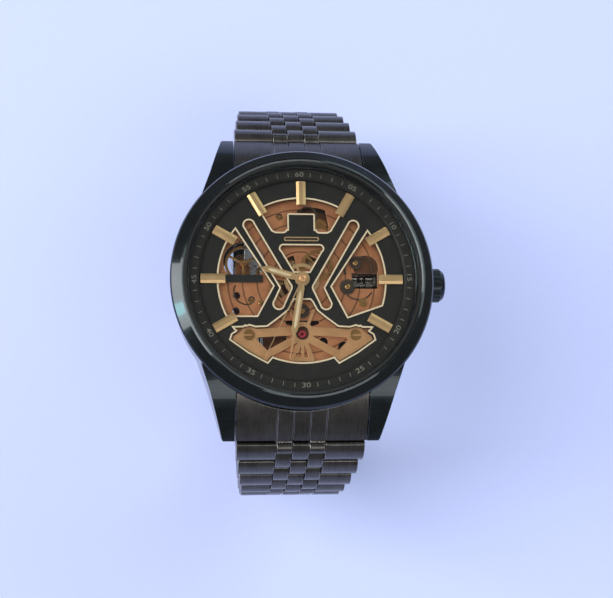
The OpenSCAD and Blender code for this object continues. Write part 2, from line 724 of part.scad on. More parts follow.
// an end link: the body between the lugs and the two lips that hold the first row's pin
module end_link() {
    difference() {
        plate_x(0.15 - lug_x, lug_x - 0.15) end_link_side();
        translate([0, 0, -1]) cylinder(r = case_r + 0.25, h = 12, $fn = 160);
        rod_x(-12, 12, link_r + 0.35, hinge_y, hinge_z, 48);
        rod_x(-12, 12, pin_bore_r, bar_y, bar_z, 32);
        end_link_grooves();
    }
    difference() {
        both_x(mid_in, mid_out) {
            translate([hinge_y, hinge_z]) circle(r = link_r, $fn = 32);
            intersection() {
                translate([hinge_y - 2.6, hinge_z - link_r]) square([2.6, 2 * link_r]);
                translate(end_top) circle(r = top_r, $fn = 128);
            }
        }
        rod_x(-12, 12, pin_bore_r, hinge_y, hinge_z, 24);
    }
    rod_x(-lug_x - 1, lug_x + 1, pin_r, bar_y, bar_z, 24);
}

module end_links() color(gunmetal) for (a = [0, 180]) rotate([0, 0, a]) end_link();

// ---- clasp ----

// a point in Y and Z on the clasp's arc
function on_arc(r, a) = [clasp_y + r * sin(a), clasp_z - r * cos(a)];

// outline of a curved strip of the clasp
module strip(r_in, r_out, a0, a1) translate([clasp_y, clasp_z]) intersection() {
    difference() {
        circle(r = r_out, $fn = 360);
        circle(r = r_in, $fn = 360);
    }
    polygon([[0, 0], 2 * r_out * [sin(a0), -cos(a0)],
        2 * r_out * [sin((a0 + a1) / 2), -cos((a0 + a1) / 2)], 2 * r_out * [sin(a1), -cos(a1)]]);
}

module knuckle(r, a, size) translate(on_arc(r, a)) circle(r = size, $fn = 32);

// a rod across the clasp, on its arc
module clasp_rod(x, r_arc, a, r) rod_x(-x, x, r, on_arc(r_arc, a)[0], on_arc(r_arc, a)[1], 24);

module clasp_cover() color(black) {
    difference() {
        union() {
            intersection() {
                plate_x(-cover_x, cover_x) strip(clasp_r + 1.0, clasp_r + 2.3, -17, 17);
                translate([-20, -40, clasp_z - clasp_r - 1.9]) cube([40, 80, 20]);
            }
            both_x(cover_x - 1, cover_x) {
                strip(clasp_r - 1.1, clasp_r + 1.1, -16.6, clasp_a);
                knuckle(clasp_r, clasp_a, 1.1);
            }
        }
        clasp_rod(12, clasp_r, clasp_a, pin_bore_r);
        clasp_rod(12, blade_pin_r, 4, 0.95);
        clasp_rod(12, blade_pin_r, cover_a, 0.45);
    }
    at = on_arc(blade_pin_r, cover_a);
    for (x = [3.5, 0.1 - cover_x]) rod_x(x, x + cover_x - 3.6, 0.4, at[0], at[1], 24);
}

// two side arms and the bridge that joins them beyond the fold pin
module clasp_arms() color(steel) {
    difference() {
        union() {
            both_x(3.6, 6.6) {
                strip(clasp_r - 0.7, clasp_r + 0.5, cover_a, 15.2);
                knuckle(blade_pin_r, cover_a, 0.75);
            }
            plate_x(-3.7, 3.7) strip(clasp_r - 0.7, clasp_r + 0.5, fold_a + 1.25, 15.2);
        }
        clasp_rod(12, blade_pin_r, cover_a, 0.45);
        clasp_rod(12, blade_pin_r, fold_a, 0.4);
    }
    clasp_rod(6.5, blade_pin_r, fold_a, 0.36);
}

// the middle blade, carried by the last row at 6 o'clock
module clasp_tongue() color(steel) {
    difference() {
        union() {
            plate_x(-3.2, 3.2) {
                strip(clasp_r - 0.7, clasp_r + 0.5, -18.9, fold_a);
                knuckle(blade_pin_r, fold_a, 0.75);
            }
            plate_x(-centre_x, centre_x) {
                strip(clasp_r - 0.9, clasp_r + 0.9, -clasp_a, -18);
                knuckle(clasp_r, -clasp_a, link_r);
            }
        }
        clasp_rod(12, blade_pin_r, fold_a, 0.4);
        clasp_rod(12, clasp_r, -clasp_a, pin_bore_r);
    }
    clasp_rod(mid_out, clasp_r, -clasp_a, pin_r);
}

module button(s) {
    at = on_arc(blade_pin_r, 4);
    for (x = [[cover_x + 0.6, cover_x + 1.2, 1.35], [cover_x - 1.6, cover_x + 0.6, 0.9]])
        rod_x(s > 0 ? x[0] : -x[1], s > 0 ? x[1] : -x[0], x[2], at[0], at[1], 48);
}

module button_left() color(steel) button(-1);

module button_right() color(steel) button(1);

// ---- what is drawn ----

case_middle();
bezel();
crystal();
crystal_gasket();
minute_ring();
dial_plate();
window_rims();
hour_batons();
plaque();
mainplate();
dial_bridge();
barrel_bridge();
train_bridge();
balance_cock();
jewels();
movement_screws();
movement_ring();
case_back();
back_glass();
crown_tube();
crown();
setting_lever();
hour_hand();
minute_hand();
second_hand();
minute_wheel();
third_wheel();
fourth_wheel();
escape_wheel();
pallet_fork();
balance_wheel();
barrel();
rotor();
end_links();
row(1, 1);  // row_12_1
row(1, 2);  // row_12_2
row(1, 3);  // row_12_3
row(1, 4);  // row_12_4
row(1, 5);  // row_12_5
row(1, 6);  // row_12_6
row(1, 7);  // row_12_7
row(1, 8);  // row_12_8
row(1, 9);  // row_12_9
row(1, 10);  // row_12_10
row(-1, 1);  // row_6_1
row(-1, 2);  // row_6_2
row(-1, 3);  // row_6_3
row(-1, 4);  // row_6_4
row(-1, 5);  // row_6_5
row(-1, 6);  // row_6_6
row(-1, 7);  // row_6_7
row(-1, 8);  // row_6_8
row(-1, 9);  // row_6_9
row(-1, 10);  // row_6_10
clasp_cover();
clasp_arms();
clasp_tongue();
button_left();
button_right();
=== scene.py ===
import math

import bmesh
import bpy
from mathutils import Matrix, Vector


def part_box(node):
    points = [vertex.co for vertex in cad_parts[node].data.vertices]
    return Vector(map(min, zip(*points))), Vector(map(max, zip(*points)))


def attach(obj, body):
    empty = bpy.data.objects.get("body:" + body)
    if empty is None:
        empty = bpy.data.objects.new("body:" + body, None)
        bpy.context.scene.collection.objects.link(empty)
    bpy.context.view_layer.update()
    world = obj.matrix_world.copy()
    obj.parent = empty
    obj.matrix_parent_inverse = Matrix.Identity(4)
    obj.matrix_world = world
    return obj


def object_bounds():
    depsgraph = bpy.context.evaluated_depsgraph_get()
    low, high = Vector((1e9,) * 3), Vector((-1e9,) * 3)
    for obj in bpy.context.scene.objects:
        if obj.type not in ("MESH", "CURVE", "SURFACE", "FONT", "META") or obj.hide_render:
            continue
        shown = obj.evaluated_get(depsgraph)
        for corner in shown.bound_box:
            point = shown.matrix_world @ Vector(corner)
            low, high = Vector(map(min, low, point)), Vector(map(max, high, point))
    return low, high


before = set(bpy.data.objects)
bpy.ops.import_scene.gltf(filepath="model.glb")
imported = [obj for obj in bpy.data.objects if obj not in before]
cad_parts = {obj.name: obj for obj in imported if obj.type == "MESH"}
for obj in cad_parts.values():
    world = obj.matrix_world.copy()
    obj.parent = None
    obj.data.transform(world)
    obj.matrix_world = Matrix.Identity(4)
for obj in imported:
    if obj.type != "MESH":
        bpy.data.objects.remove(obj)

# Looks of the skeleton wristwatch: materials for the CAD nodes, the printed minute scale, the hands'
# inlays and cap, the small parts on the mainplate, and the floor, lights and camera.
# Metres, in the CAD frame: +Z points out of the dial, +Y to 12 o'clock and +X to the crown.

MM = 0.001

# ---- sizes ----
CAD_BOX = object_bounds()
RING_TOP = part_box("minute_ring")[1][2]
PLATE_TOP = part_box("mainplate")[1][2]
SCALE_R = 18.0 * MM
TICK_LENGTH = 0.7 * MM
TICK_WIDTH = 0.09 * MM
PRINT_HEIGHT = 0.02 * MM
NUMERAL_SIZE = 1.15 * MM
NUMERAL_STRETCH = 1.35
SCALE_TURN = math.radians(0.95)

# the hands' places at rest, in degrees clockwise from 12 o'clock
HOUR_ANGLE = 286.0
MINUTE_ANGLE = 189.5

# the added plates: the gap below each, and their thicknesses
LAID_GAP = 0.02 * MM
INLAY_THICKNESS = 0.03 * MM
BRIDGE_END_THICKNESS = 0.06 * MM
SPRING_THICKNESS = 0.12 * MM
WHEEL_THICKNESS = 0.18 * MM

FLOOR_REACH = 3.0

# radii of rubbed edges
FINE_EDGE = 0.05 * MM
BROAD_EDGE = 0.08 * MM

# where one surface changes its look, in millimetres; GROOVE_SHARE is a groove's part of the pitch
CROWN_START_X = 21.6
LABEL_END_X = -5.0
# in the plate copper, the grooves and what lies more than MILLED_DEPTH below the plate's top get painted
# shade
MILLED_DEPTH = 0.06
GROOVE_PITCH = 2.45
GROOVE_SHARE = 0.11

# ---- the photograph's view ----
LENS = 74.2
SENSOR_WIDTH = 36.0
CAMERA_AT = (-0.02055, -0.04830, 0.21372)
CAMERA_RIGHT = (0.9949, -0.0175, 0.0993)
CAMERA_UP = (-0.0042, 0.9768, 0.2140)
CAMERA_BACK = (-0.1008, -0.2134, 0.9718)

FLOOR_COLOUR = (0.56, 0.62, 0.98)


# ---- node helpers ----

def add(tree, kind, inputs=None, **settings):
    """A new node with its settings and inputs; an input is a value or another node's output."""
    node = tree.nodes.new(kind)
    for key, value in settings.items():
        setattr(node, key, value)
    for key, value in (inputs or {}).items():
        if isinstance(value, bpy.types.NodeSocket):
            tree.links.new(value, node.inputs[key])
        else:
            node.inputs[key].default_value = value
    return node


def new_material(name):
    """An empty material and its node tree."""
    material = bpy.data.materials.new(name)
    material.use_nodes = True
    material.node_tree.nodes.clear()
    return material, material.node_tree


def show(tree, shader):
    """Puts a finished shader on the surface."""
    add(tree, "ShaderNodeOutputMaterial", {"Surface": shader})


def place_mm(tree, scale=(1, 1, 1)):
    """The place on the object in millimetres, squeezed or stretched by scale."""
    coordinates = add(tree, "ShaderNodeTexCoord").outputs["Object"]
    inputs = {"Vector": coordinates, "Scale": [s / MM for s in scale]}
    return add(tree, "ShaderNodeMapping", inputs).outputs["Vector"]


def axis_mm(tree, axis):
    """One coordinate of the place on the object in millimetres."""
    return add(tree, "ShaderNodeSeparateXYZ", {0: place_mm(tree)}).outputs[axis]


def noise(tree, place, scale, detail=3.0, roughness=0.55):
    inputs = {"Vector": place, "Scale": scale, "Detail": detail, "Roughness": roughness}
    return add(tree, "ShaderNodeTexNoise", inputs).outputs[0]


def spread(tree, value, low, high, from_low=0.3, from_high=0.7):
    """The value's middle range laid out between low and high."""
    inputs = {
        "Value": value,
        "From Min": from_low,
        "From Max": from_high,
        "To Min": low,
        "To Max": high,
    }
    return add(tree, "ShaderNodeMapRange", inputs).outputs["Result"]


def blend_colours(tree, share, first, second):
    """The first colour where the share is 0, the second where it is 1."""
    inputs = {0: share, 6: first, 7: second}
    return add(tree, "ShaderNodeMix", inputs, data_type="RGBA").outputs[2]


def calculate(tree, operation, first, second=0.0):
    return add(tree, "ShaderNodeMath", {0: first, 1: second}, operation=operation).outputs[0]


def radius_mm(tree):
    """Distance from the watch's centre line in millimetres."""
    flat = place_mm(tree, (1, 1, 0))
    return add(tree, "ShaderNodeVectorMath", {0: flat}, operation="LENGTH").outputs["Value"]


def round_edges(tree, radius):
    """The normal with softened edges, and a mask that is 1 on those edges."""
    soft = add(tree, "ShaderNodeBevel", {"Radius": radius}, samples=4).outputs[0]
    true = add(tree, "ShaderNodeNewGeometry").outputs["Normal"]
    match = add(tree, "ShaderNodeVectorMath", {0: soft, 1: true}, operation="DOT_PRODUCT")
    return soft, spread(tree, match.outputs["Value"], 1.0, 0.0, 0.8, 0.995)


def brush_lines(tree, brushing):
    """Fine lines along the bracelet, around the case or level along its side, or a plain grain."""
    if brushing == "along":
        return noise(tree, place_mm(tree, (1, 0.02, 0.02)), 9.0, 4.0, 0.7)
    if brushing == "around":
        rings = add(tree, "ShaderNodeCombineXYZ", {"X": radius_mm(tree)}).outputs[0]
        return noise(tree, rings, 9.0, 4.0, 0.7)
    if brushing == "level":
        return noise(tree, place_mm(tree, (0.02, 0.02, 1)), 9.0, 4.0, 0.7)
    return noise(tree, place_mm(tree), 7.0, 4.0, 0.7)


def rgb(colour):
    """A colour as a node socket takes it."""
    return (*colour, 1.0)


# ---- materials ----

def metal(name, colours, rough, brushing="grain", depth=0.1, edge=0.05, coat=0.0, metallic=1.0):
    """Metal with brushing or grain, soft colour changes, and lighter, smoother rubbed edges.

    The colours are the surface's own, its darker patches' and its rubbed edges'.
    """
    colour, dark, rubbed = colours
    material, tree = new_material(name)
    lines = brush_lines(tree, brushing)
    clouds = noise(tree, place_mm(tree), 0.35, 2.0)
    soft, edges = round_edges(tree, edge * MM)
    tone = calculate(tree, "ADD", spread(tree, lines, 0.0, 0.6), spread(tree, clouds, 0.0, 0.4))
    base = blend_colours(tree, tone, rgb(dark), rgb(colour))
    patchy = calculate(tree, "MULTIPLY", edges, spread(tree, clouds, 0.45, 1.0))
    worn = blend_colours(tree, patchy, base, rgb(rubbed))
    lined = spread(tree, lines, rough * 0.75, rough)
    uneven = calculate(tree, "ADD", lined, spread(tree, clouds, 0.0, 0.06))
    finish_metal(tree, worn, uneven, lines, depth, soft, metallic, coat)
    return material


def finish_metal(tree, base, roughness, height, depth, normal, metallic=1.0, coat=0.0):
    """Relief from a height and the metal's own shader, shown on the surface."""
    bump_inputs = {"Height": height, "Strength": depth, "Distance": 0.02 * MM, "Normal": normal}
    bump = add(tree, "ShaderNodeBump", bump_inputs)
    inputs = {
        "Base Color": base,
        "Metallic": metallic,
        "Roughness": roughness,
        "Normal": bump.outputs[0],
        "Coat Weight": coat,
        "Coat Roughness": 0.05,
    }
    show(tree, add(tree, "ShaderNodeBsdfPrincipled", inputs).outputs[0])


def engraved_copper(name, colour, dark, top):
    """Plated plate with turned grooves round the centre; the grooves and what is milled below its top are
    darkened with painted shade.
    """
    material, tree = new_material(name)
    place = place_mm(tree)
    grain = noise(tree, place, 6.0, 4.0, 0.7)
    clouds = noise(tree, place, 0.4, 2.0)
    soft, edges = round_edges(tree, 0.09 * MM)
    turns = calculate(tree, "FRACT", calculate(tree, "DIVIDE", radius_mm(tree), GROOVE_PITCH))
    grooves = calculate(tree, "LESS_THAN", turns, GROOVE_SHARE)
    milled = calculate(tree, "LESS_THAN", axis_mm(tree, "Z"), top - MILLED_DEPTH)
    # painted shade: the grooves and the milled recesses are darkened towards a near-black copper
    groove_painted_shade = calculate(tree, "MULTIPLY", grooves, 0.7)
    recess_painted_shade = calculate(tree, "MULTIPLY", milled, 0.92)
    painted_shade = calculate(tree, "MAXIMUM", groove_painted_shade, recess_painted_shade)
    toned = blend_colours(tree, spread(tree, clouds, 0.0, 0.7), rgb(colour), rgb(dark))
    with_painted_shade = blend_colours(tree, painted_shade, toned, rgb([0.25 * c for c in dark]))
    worn = blend_colours(tree, calculate(tree, "MULTIPLY", edges, 0.8), with_painted_shade, (0.92, 0.60, 0.38, 1))
    relief = calculate(tree, "SUBTRACT", calculate(tree, "MULTIPLY", grain, 0.3), grooves)
    finish_metal(tree, worn, spread(tree, grain, 0.32, 0.48), relief, 0.5, soft, 0.6)
    return material


def crown_material(shell, steel):
    """Black plating outside the case; the stem and its pinions inside it are bare steel."""
    material, tree = new_material("crown_and_stem")
    is_shell = calculate(tree, "GREATER_THAN", axis_mm(tree, "X"), CROWN_START_X)
    lines = noise(tree, place_mm(tree), 7.0, 4.0, 0.7)
    soft, edges = round_edges(tree, BROAD_EDGE)
    plain = blend_colours(tree, is_shell, rgb(steel), rgb(shell))
    toned = blend_colours(tree, spread(tree, lines, 0.0, 0.35), plain, (0.01, 0.012, 0.014, 1))
    worn = blend_colours(tree, calculate(tree, "MULTIPLY", edges, 0.35), toned, (0.5, 0.52, 0.53, 1))
    finish_metal(tree, worn, spread(tree, lines, 0.16, 0.26), lines, 0.06, soft)
    return material


def plain_surface(name, colour, dark, rough, specular=0.5):
    """A lacquered or moulded surface with a fine grain and uneven gloss."""
    material, tree = new_material(name)
    grain = noise(tree, place_mm(tree), 9.0)
    clouds = noise(tree, place_mm(tree), 0.5, 2.0)
    soft, edges = round_edges(tree, FINE_EDGE)
    base = blend_colours(tree, spread(tree, clouds, 0.0, 1.0), rgb(dark), rgb(colour))
    lighter = [min(1.0, 1.6 * c) for c in colour]
    worn = blend_colours(tree, calculate(tree, "MULTIPLY", edges, 0.5), base, rgb(lighter))
    bump_inputs = {"Height": grain, "Strength": 0.08, "Distance": 0.02 * MM, "Normal": soft}
    inputs = {
        "Base Color": worn,
        "Roughness": spread(tree, grain, rough * 0.8, rough * 1.15),
        "Specular IOR Level": specular,
        "Normal": add(tree, "ShaderNodeBump", bump_inputs).outputs[0],
    }
    show(tree, add(tree, "ShaderNodeBsdfPrincipled", inputs).outputs[0])
    return material


def striped_metal(name, colour, dark, angle):
    """Plated steel with the broad straight stripes of a finished rotor."""
    material, tree = new_material(name)
    place = place_mm(tree)
    turned = add(tree, "ShaderNodeMapping", {"Vector": place, "Rotation": (0, 0, math.radians(angle))})
    stripes = add(
        tree,
        "ShaderNodeTexWave",
        {"Vector": turned.outputs[0], "Scale": 0.16, "Distortion": 0.15, "Detail": 1.0},
        wave_profile="SAW",
    ).outputs[1]
    stretched = add(tree, "ShaderNodeMapping", {"Vector": turned.outputs[0], "Scale": (0.05, 1, 1)})
    lines = noise(tree, stretched.outputs[0], 8.0)
    soft, edges = round_edges(tree, BROAD_EDGE)
    height = calculate(tree, "ADD", stripes, calculate(tree, "MULTIPLY", lines, 0.25))
    base = blend_colours(tree, stripes, rgb(dark), rgb(colour))
    worn = blend_colours(tree, calculate(tree, "MULTIPLY", edges, 0.6), base, (0.9, 0.88, 0.85, 1))
    finish_metal(tree, worn, spread(tree, lines, 0.18, 0.34), height, 0.5, soft)
    return material


def ruby_material():
    """Synthetic ruby: a deep glossy red with a lighter core."""
    material, tree = new_material("ruby")
    depth = noise(tree, place_mm(tree), 2.0)
    base = blend_colours(tree, spread(tree, depth, 0, 1), (0.35, 0.0, 0.02, 1), (0.8, 0.02, 0.06, 1))
    soft, _ = round_edges(tree, FINE_EDGE)
    shader = add(
        tree,
        "ShaderNodeBsdfPrincipled",
        {
            "Base Color": base,
            "Roughness": spread(tree, depth, 0.06, 0.14),
            "IOR": 1.76,
            "Coat Weight": 0.6,
            "Normal": soft,
        },
    )
    show(tree, shader.outputs[0])
    return material


def crystal_material():
    """Clear crystal: what is behind shows through, with a faint mirror and hardly seen smears."""
    material, tree = new_material("crystal")
    smears = noise(tree, place_mm(tree), 0.25, 3.0)
    clear = add(tree, "ShaderNodeBsdfTransparent", {"Color": (0.97, 0.985, 0.98, 1)})
    mirror = add(tree, "ShaderNodeBsdfGlossy", {"Roughness": spread(tree, smears, 0.01, 0.07)})
    facing = add(tree, "ShaderNodeFresnel", {"IOR": 1.45}).outputs[0]
    share = calculate(tree, "MULTIPLY", facing, 0.45)
    mixed = add(tree, "ShaderNodeMixShader", {0: share, 1: clear.outputs[0], 2: mirror.outputs[0]})
    show(tree, mixed.outputs[0])
    return material


def two_tone_plaque(gold_colour, black_colour):
    """One material for the applied bar and, left of the window's edge, the plain black label."""
    material, tree = new_material("plaque_gold_and_black")
    is_label = calculate(tree, "LESS_THAN", axis_mm(tree, "X"), LABEL_END_X)
    grain = noise(tree, place_mm(tree), 8.0)
    soft, _ = round_edges(tree, FINE_EDGE)
    darker = rgb([0.8 * c for c in gold_colour])
    gold_base = blend_colours(tree, spread(tree, grain, 0, 1), darker, rgb(gold_colour))
    base = blend_colours(tree, is_label, gold_base, rgb(black_colour))
    metallic = calculate(tree, "SUBTRACT", 0.75, is_label)
    finish_metal(tree, base, spread(tree, grain, 0.26, 0.4), grain, 0.1, soft, metallic)
    return material


def floor_material():
    """Matt pale paper."""
    material, tree = new_material("floor_paper")
    grain = noise(tree, place_mm(tree), 0.8)
    darker = rgb([0.985 * c for c in FLOOR_COLOUR])
    base = blend_colours(tree, spread(tree, grain, 0, 1), darker, rgb(FLOOR_COLOUR))
    bump = add(tree, "ShaderNodeBump", {"Height": grain, "Strength": 0.05, "Distance": 0.1 * MM})
    shader = add(
        tree,
        "ShaderNodeBsdfPrincipled",
        {"Base Color": base, "Roughness": 0.9, "Specular IOR Level": 0.1, "Normal": bump.outputs[0]},
    )
    show(tree, shader.outputs[0])
    return material


PALE_GOLD = (0.76, 0.49, 0.25)

# three colours for each metal: its own, its darker patches' and its rubbed edges'
# the black plating is near black; the teal tint in its three colours is a painted reflection of cool
# surroundings
BLACK_PAINTED_TEAL = [(0.028, 0.036, 0.040), (0.010, 0.014, 0.017), (0.30, 0.34, 0.35)]
GUNMETAL = [(0.120, 0.112, 0.105), (0.058, 0.054, 0.051), (0.72, 0.70, 0.66)]
BARE_STEEL = [(0.55, 0.55, 0.54), (0.38, 0.38, 0.38), (0.80, 0.80, 0.78)]
GREY_STEEL = [(0.30, 0.30, 0.30), (0.18, 0.18, 0.18), (0.60, 0.60, 0.60)]
WARM_STEEL = [(0.45, 0.40, 0.34), (0.30, 0.27, 0.23), (0.85, 0.82, 0.76)]
DARK_STEEL = [(0.16, 0.12, 0.09), (0.07, 0.05, 0.04), (0.60, 0.48, 0.36)]
SATIN_GOLD = [PALE_GOLD, (0.60, 0.37, 0.17), (0.98, 0.80, 0.52)]
CREAM_GOLD = [(0.95, 0.76, 0.54), (0.80, 0.60, 0.38), (1.0, 0.92, 0.78)]
BRASS = [(0.62, 0.34, 0.12), (0.34, 0.17, 0.06), (0.95, 0.70, 0.40)]
ROSE = [(0.50, 0.21, 0.10), (0.30, 0.11, 0.05), (0.90, 0.55, 0.33)]
LIGHT_ROSE = [(0.75, 0.40, 0.185), (0.52, 0.25, 0.11), (1.0, 0.78, 0.54)]

black_case = metal("black_case", BLACK_PAINTED_TEAL, 0.16, depth=0.03, edge=0.1, coat=0.5)
black_side = metal("black_side", BLACK_PAINTED_TEAL, 0.22, "level", depth=0.05, edge=0.14, coat=0.4)
black_turned = metal("black_turned", BLACK_PAINTED_TEAL, 0.13, "around", depth=0.03, edge=0.12, coat=0.6)
link_steel = metal("link_steel", GUNMETAL, 0.30, "along", depth=0.08, edge=0.16)
inner_steel = metal("inner_steel", BARE_STEEL, 0.30, "along", depth=0.2, edge=0.08)
turned_steel = metal("turned_steel", GREY_STEEL, 0.30, "around", depth=0.15, edge=0.1)
bright_steel = metal("bright_steel", WARM_STEEL, 0.26, depth=0.08)
dark_steel = metal("dark_steel", DARK_STEEL, 0.30)
rotor_steel = striped_metal("rotor_steel", (0.62, 0.60, 0.57), (0.40, 0.39, 0.37), 60)
gold = metal("gold", SATIN_GOLD, 0.34, depth=0.04, metallic=0.75)
rim_gold = metal("rim_gold", CREAM_GOLD, 0.40, depth=0.05, edge=0.04, metallic=0.2)
wheel_brass = metal("wheel_brass", BRASS, 0.30)
rose_copper = metal("rose_copper", ROSE, 0.40, depth=0.3, edge=0.08, metallic=0.6)
rose_brushed = metal("rose_brushed", LIGHT_ROSE, 0.36, depth=0.15, edge=0.09, metallic=0.55)
plate_copper = engraved_copper("plate_copper", (0.62, 0.255, 0.115), (0.38, 0.14, 0.06), PLATE_TOP / MM)
dial_grey = plain_surface("dial_grey", (0.016, 0.0145, 0.012), (0.009, 0.008, 0.007), 0.5, specular=0.25)
ring_grey = plain_surface("ring_grey", (0.018, 0.0165, 0.014), (0.011, 0.010, 0.0085), 0.5, specular=0.25)
gasket_rubber = plain_surface("gasket_rubber", (0.010, 0.010, 0.010), (0.006, 0.006, 0.006), 0.4)
holder_grey = plain_surface("holder_grey", (0.020, 0.020, 0.022), (0.012, 0.012, 0.013), 0.5)
print_grey = plain_surface("print_grey", (0.28, 0.255, 0.21), (0.17, 0.155, 0.125), 0.5)
inlay = plain_surface("inlay", (0.80, 0.62, 0.40), (0.66, 0.48, 0.28), 0.5)
ruby = ruby_material()
crystal = crystal_material()
plaque = two_tone_plaque(PALE_GOLD, (0.008, 0.008, 0.008))
crown_black = crown_material(BLACK_PAINTED_TEAL[0], (0.34, 0.31, 0.27))

ROWS = [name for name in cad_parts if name.startswith("row_")]
WHEELS = ["minute_wheel", "third_wheel", "fourth_wheel", "balance_wheel", "barrel"]
LOOKS = [
    (black_side, ["case_middle"]),
    (black_turned, ["bezel"]),
    (crown_black, ["crown"]),
    (black_case, ["clasp_cover", "button_left", "button_right"]),
    (link_steel, ["end_links", *ROWS]),
    (inner_steel, ["clasp_arms", "clasp_tongue"]),
    (turned_steel, ["case_back"]),
    (crystal, ["crystal", "back_glass"]),
    (gasket_rubber, ["crystal_gasket"]),
    (dial_grey, ["dial_plate"]),
    (ring_grey, ["minute_ring"]),
    (rim_gold, ["window_rims"]),
    (gold, ["hour_batons", "hour_hand", "minute_hand", "second_hand"]),
    (plaque, ["plaque"]),
    (plate_copper, ["mainplate"]),
    (rose_copper, ["barrel_bridge", "train_bridge", "balance_cock"]),
    (rose_brushed, ["dial_bridge"]),
    (wheel_brass, [*WHEELS, "movement_screws"]),
    (bright_steel, ["crown_tube", "setting_lever", "escape_wheel", "pallet_fork"]),
    (ruby, ["jewels"]),
    (holder_grey, ["movement_ring"]),
    (rotor_steel, ["rotor"]),
]


def dress_cad_nodes():
    """Puts each look's material on its CAD nodes."""
    for material, names in LOOKS:
        for name in names:
            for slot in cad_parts[name].material_slots:
                slot.material = material


# ---- added pieces ----

def new_object(name, mesh, material):
    """A new object from a bmesh, in one material. The bmesh is freed."""
    data = bpy.data.meshes.new(name)
    mesh.to_mesh(data)
    mesh.free()
    data.materials.append(material)
    piece = bpy.data.objects.new(name, data)
    bpy.context.collection.objects.link(piece)
    return piece


def finish_piece(name, mesh, material, body):
    """A piece that moves with a body and is coloured with a slot."""
    piece = new_object(name, mesh, material)
    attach(piece, body)


def scale_place(minute):
    """From the origin to a minute's place on the ring, where the scale is printed a little askew."""
    turn = Matrix.Rotation(SCALE_TURN - math.radians(6 * minute), 4, "Z")
    return turn @ Matrix.Translation((0, SCALE_R, RING_TOP + PRINT_HEIGHT / 2))


def printed_ticks():
    """One thin printed line for each minute that has no numeral."""
    mesh = bmesh.new()
    size = Matrix.Diagonal((TICK_WIDTH, TICK_LENGTH, PRINT_HEIGHT, 1))
    for minute in range(60):
        if minute % 5 != 0:
            bmesh.ops.create_cube(mesh, size=1.0, matrix=scale_place(minute) @ size)
    finish_piece("minute_ticks", mesh, print_grey, "case")


def numeral_mesh(text):
    """The outline of a printed number, centred on its own origin."""
    curve = bpy.data.curves.new("numeral", "FONT")
    curve.body = text
    curve.size = NUMERAL_SIZE
    curve.align_x = "CENTER"
    curve.align_y = "CENTER"
    curve.extrude = PRINT_HEIGHT / 2
    holder = bpy.data.objects.new("numeral", curve)
    bpy.context.collection.objects.link(holder)
    bpy.context.view_layer.update()
    evaluated = holder.evaluated_get(bpy.context.evaluated_depsgraph_get())
    mesh = bpy.data.meshes.new_from_object(evaluated)
    bpy.data.objects.remove(holder)
    bpy.data.curves.remove(curve)
    return mesh


def printed_numerals():
    """The five-minute numbers; those on the lower half have their feet outwards."""
    mesh = bmesh.new()
    for minute in range(5, 65, 5):
        number = numeral_mesh(f"{minute:02d}")
        number.transform(Matrix.Diagonal((NUMERAL_STRETCH, 1, 1, 1)))
        if 20 <= minute <= 40:
            number.transform(Matrix.Rotation(math.pi, 4, "Z"))
        number.transform(scale_place(minute))
        mesh.from_mesh(number)
        bpy.data.meshes.remove(number)
    finish_piece("minute_numerals", mesh, print_grey, "case")


def flat_piece(name, outlines, low, high, body, material, angle=0.0):
    """Flat plates between two heights from outlines of (x, y) in mm, turned clockwise by an angle."""
    mesh = bmesh.new()
    turn = Matrix.Rotation(-math.radians(angle), 4, "Z")
    for outline in outlines:
        corners = [mesh.verts.new(turn @ Vector((x * MM, y * MM, low))) for x, y in outline]
        plate = mesh.faces.new(corners)
        raised = bmesh.ops.extrude_face_region(mesh, geom=[plate])["geom"]
        top = [item for item in raised if isinstance(item, bmesh.types.BMVert)]
        bmesh.ops.translate(mesh, verts=top, vec=(0, 0, high - low))
    bmesh.ops.recalc_face_normals(mesh, faces=mesh.faces)
    finish_piece(name, mesh, material, body)


def mirrored(points):
    """Half an outline completed by its mirror image."""
    return points + [(-x, y) for x, y in reversed(points)]


def polar(centre, radius, degrees):
    """The point at a radius and an angle round a centre."""
    angle = math.radians(degrees)
    return (centre[0] + radius * math.cos(angle), centre[1] + radius * math.sin(angle))


def gear_outline(centre, radius, count, depth=0.22):
    """A toothed wheel: each tooth has two corners on its tip and two at its foot."""
    corners = [(0.0, 0.5), (0.28, 0.5), (0.5, -0.5), (0.78, -0.5)]
    return [
        polar(centre, radius + side * depth, 360 * (tooth + part) / count)
        for tooth in range(count)
        for part, side in corners
    ]


def arc_outline(centre, radius, width, start, end, steps=20):
    """A curved strip, such as a flat spring."""
    angles = [start + (end - start) * i / steps for i in range(steps + 1)]
    outer = [polar(centre, radius + width / 2, a) for a in angles]
    return outer + [polar(centre, radius - width / 2, a) for a in reversed(angles)]


def turned_piece(name, profile, centre, body, material, steps=48):
    """A solid turned about an axis along Z, from a profile of (radius, height) in mm."""
    mesh = bmesh.new()
    loops = []
    for radius, height in profile:
        places = [polar(centre, radius, 360 * i / steps) for i in range(steps)]
        loops.append([mesh.verts.new((x * MM, y * MM, height * MM)) for x, y in places])
    for low, high in zip(loops, loops[1:]):
        for i in range(steps):
            j = (i + 1) % steps
            mesh.faces.new((low[i], low[j], high[j], high[i]))
    mesh.faces.new(list(reversed(loops[0])))
    mesh.faces.new(loops[-1])
    finish_piece(name, mesh, material, body)


